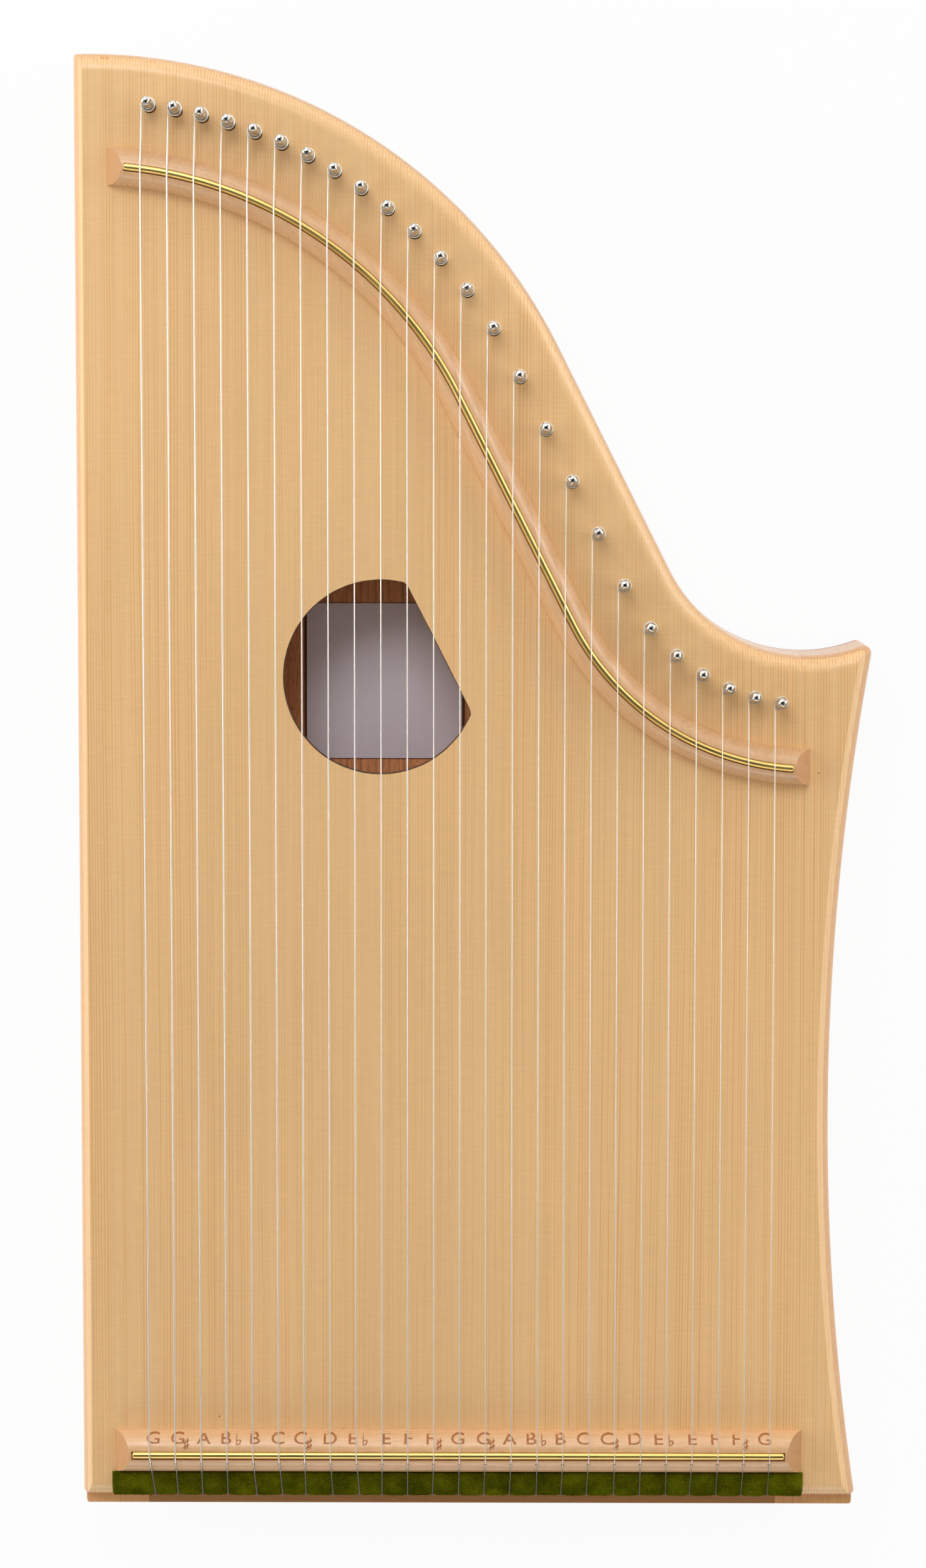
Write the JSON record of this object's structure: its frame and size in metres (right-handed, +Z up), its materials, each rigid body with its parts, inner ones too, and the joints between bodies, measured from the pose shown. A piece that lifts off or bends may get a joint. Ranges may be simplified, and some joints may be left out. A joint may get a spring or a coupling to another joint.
{
  "type": "table harp",
  "caption": "Flat wooden harp laid on its back, with an S-curved row of turning pins, steel strings over two bridges and a D-shaped sound hole.",
  "frame": {"origin": "centre of the bounding box, at the flat back board's underside", "axes": "+Y from the tail towards the tall end, +X from the long straight side towards the short bowed side, +Z up out of the soundboard"},
  "size_m": [0.3494, 0.6439, 0.0622],
  "materials": {
    "spruce": "satin",
    "beech": "satin",
    "maple": "satin",
    "mahogany": "satin",
    "brass": "polished",
    "nickel": "polished",
    "string_wire": "polished",
    "felt": "matt"
  },
  "bodies": {
    "body": {"soundboard": "spruce", "back_board": "mahogany", "side_frame": "beech", "pin_block": "beech", "soundboard_brace": "spruce", "upper_bridge": "maple", "lower_bridge": "maple", "upper_bridge_rod": "brass", "lower_bridge_rod": "brass", "felt_strip": "felt", "string_01": "string_wire", "string_02": "string_wire", "string_03": "string_wire", "string_04": "string_wire", "string_05": "string_wire", "string_06": "string_wire", "string_07": "string_wire", "string_08": "string_wire", "string_09": "string_wire", "string_10": "string_wire", "string_11": "string_wire", "string_12": "string_wire", "string_13": "string_wire", "string_14": "string_wire", "string_15": "string_wire", "string_16": "string_wire", "string_17": "string_wire", "string_18": "string_wire", "string_19": "string_wire", "string_20": "string_wire", "string_21": "string_wire", "string_22": "string_wire", "string_23": "string_wire", "string_24": "string_wire", "string_25": "string_wire"},
    "tuning_pin_01": {"tuning_pin_01": "nickel"},
    "tuning_pin_02": {"tuning_pin_02": "nickel"},
    "tuning_pin_03": {"tuning_pin_03": "nickel"},
    "tuning_pin_04": {"tuning_pin_04": "nickel"},
    "tuning_pin_05": {"tuning_pin_05": "nickel"},
    "tuning_pin_06": {"tuning_pin_06": "nickel"},
    "tuning_pin_07": {"tuning_pin_07": "nickel"},
    "tuning_pin_08": {"tuning_pin_08": "nickel"},
    "tuning_pin_09": {"tuning_pin_09": "nickel"},
    "tuning_pin_10": {"tuning_pin_10": "nickel"},
    "tuning_pin_11": {"tuning_pin_11": "nickel"},
    "tuning_pin_12": {"tuning_pin_12": "nickel"},
    "tuning_pin_13": {"tuning_pin_13": "nickel"},
    "tuning_pin_14": {"tuning_pin_14": "nickel"},
    "tuning_pin_15": {"tuning_pin_15": "nickel"},
    "tuning_pin_16": {"tuning_pin_16": "nickel"},
    "tuning_pin_17": {"tuning_pin_17": "nickel"},
    "tuning_pin_18": {"tuning_pin_18": "nickel"},
    "tuning_pin_19": {"tuning_pin_19": "nickel"},
    "tuning_pin_20": {"tuning_pin_20": "nickel"},
    "tuning_pin_21": {"tuning_pin_21": "nickel"},
    "tuning_pin_22": {"tuning_pin_22": "nickel"},
    "tuning_pin_23": {"tuning_pin_23": "nickel"},
    "tuning_pin_24": {"tuning_pin_24": "nickel"},
    "tuning_pin_25": {"tuning_pin_25": "nickel"}
  },
  "joints": [
    {"name": "pin_turn_01", "type": "hinge", "parent": "body", "child": "tuning_pin_01", "pos_m": [-0.14132, 0.29889, 0.045], "axis": [-0.0295, 0.0966, 0.9949], "range_deg": [-30, 810]},
    {"name": "pin_turn_02", "type": "hinge", "parent": "body", "child": "tuning_pin_02", "pos_m": [-0.12982, 0.29709, 0.045], "axis": [-0.0295, 0.0966, 0.9949], "range_deg": [-30, 810]},
    {"name": "pin_turn_03", "type": "hinge", "parent": "body", "child": "tuning_pin_03", "pos_m": [-0.11833, 0.29462, 0.045], "axis": [-0.0295, 0.0966, 0.9949], "range_deg": [-30, 810]},
    {"name": "pin_turn_04", "type": "hinge", "parent": "body", "child": "tuning_pin_04", "pos_m": [-0.10684, 0.29146, 0.045], "axis": [-0.0295, 0.0966, 0.9949], "range_deg": [-30, 810]},
    {"name": "pin_turn_05", "type": "hinge", "parent": "body", "child": "tuning_pin_05", "pos_m": [-0.09534, 0.28757, 0.045], "axis": [-0.0295, 0.0966, 0.9949], "range_deg": [-30, 810]},
    {"name": "pin_turn_06", "type": "hinge", "parent": "body", "child": "tuning_pin_06", "pos_m": [-0.08385, 0.2829, 0.045], "axis": [-0.0295, 0.0966, 0.9949], "range_deg": [-30, 810]},
    {"name": "pin_turn_07", "type": "hinge", "parent": "body", "child": "tuning_pin_07", "pos_m": [-0.07236, 0.2774, 0.045], "axis": [-0.0295, 0.0966, 0.9949], "range_deg": [-30, 810]},
    {"name": "pin_turn_08", "type": "hinge", "parent": "body", "child": "tuning_pin_08", "pos_m": [-0.06087, 0.27098, 0.045], "axis": [-0.0295, 0.0966, 0.9949], "range_deg": [-30, 810]},
    {"name": "pin_turn_09", "type": "hinge", "parent": "body", "child": "tuning_pin_09", "pos_m": [-0.04937, 0.26356, 0.045], "axis": [-0.0295, 0.0966, 0.9949], "range_deg": [-30, 810]},
    {"name": "pin_turn_10", "type": "hinge", "parent": "body", "child": "tuning_pin_10", "pos_m": [-0.03788, 0.25498, 0.045], "axis": [-0.0295, 0.0966, 0.9949], "range_deg": [-30, 810]},
    {"name": "pin_turn_11", "type": "hinge", "parent": "body", "child": "tuning_pin_11", "pos_m": [-0.02639, 0.24506, 0.045], "axis": [-0.0295, 0.0966, 0.9949], "range_deg": [-30, 810]},
    {"name": "pin_turn_12", "type": "hinge", "parent": "body", "child": "tuning_pin_12", "pos_m": [-0.0149, 0.2335, 0.045], "axis": [-0.0295, 0.0966, 0.9949], "range_deg": [-30, 810]},
    {"name": "pin_turn_13", "type": "hinge", "parent": "body", "child": "tuning_pin_13", "pos_m": [-0.0034, 0.21986, 0.045], "axis": [-0.0295, 0.0966, 0.9949], "range_deg": [-30, 810]},
    {"name": "pin_turn_14", "type": "hinge", "parent": "body", "child": "tuning_pin_14", "pos_m": [0.00809, 0.20337, 0.045], "axis": [-0.0295, 0.0966, 0.9949], "range_deg": [-30, 810]},
    {"name": "pin_turn_15", "type": "hinge", "parent": "body", "child": "tuning_pin_15", "pos_m": [0.01958, 0.18259, 0.045], "axis": [-0.0295, 0.0966, 0.9949], "range_deg": [-30, 810]},
    {"name": "pin_turn_16", "type": "hinge", "parent": "body", "child": "tuning_pin_16", "pos_m": [0.03107, 0.15989, 0.045], "axis": [-0.0295, 0.0966, 0.9949], "range_deg": [-30, 810]},
    {"name": "pin_turn_17", "type": "hinge", "parent": "body", "child": "tuning_pin_17", "pos_m": [0.04257, 0.13719, 0.045], "axis": [-0.0295, 0.0966, 0.9949], "range_deg": [-30, 810]},
    {"name": "pin_turn_18", "type": "hinge", "parent": "body", "child": "tuning_pin_18", "pos_m": [0.05406, 0.11448, 0.045], "axis": [-0.0295, 0.0966, 0.9949], "range_deg": [-30, 810]},
    {"name": "pin_turn_19", "type": "hinge", "parent": "body", "child": "tuning_pin_19", "pos_m": [0.06555, 0.09178, 0.045], "axis": [-0.0295, 0.0966, 0.9949], "range_deg": [-30, 810]},
    {"name": "pin_turn_20", "type": "hinge", "parent": "body", "child": "tuning_pin_20", "pos_m": [0.07705, 0.07322, 0.045], "axis": [-0.0295, 0.0966, 0.9949], "range_deg": [-30, 810]},
    {"name": "pin_turn_21", "type": "hinge", "parent": "body", "child": "tuning_pin_21", "pos_m": [0.08854, 0.0613, 0.045], "axis": [-0.0295, 0.0966, 0.9949], "range_deg": [-30, 810]},
    {"name": "pin_turn_22", "type": "hinge", "parent": "body", "child": "tuning_pin_22", "pos_m": [0.10003, 0.05291, 0.045], "axis": [-0.0295, 0.0966, 0.9949], "range_deg": [-30, 810]},
    {"name": "pin_turn_23", "type": "hinge", "parent": "body", "child": "tuning_pin_23", "pos_m": [0.11152, 0.04696, 0.045], "axis": [-0.0295, 0.0966, 0.9949], "range_deg": [-30, 810]},
    {"name": "pin_turn_24", "type": "hinge", "parent": "body", "child": "tuning_pin_24", "pos_m": [0.12302, 0.04294, 0.045], "axis": [-0.0295, 0.0966, 0.9949], "range_deg": [-30, 810]},
    {"name": "pin_turn_25", "type": "hinge", "parent": "body", "child": "tuning_pin_25", "pos_m": [0.13451, 0.04059, 0.045], "axis": [-0.0295, 0.0966, 0.9949], "range_deg": [-30, 810]}
  ]
}
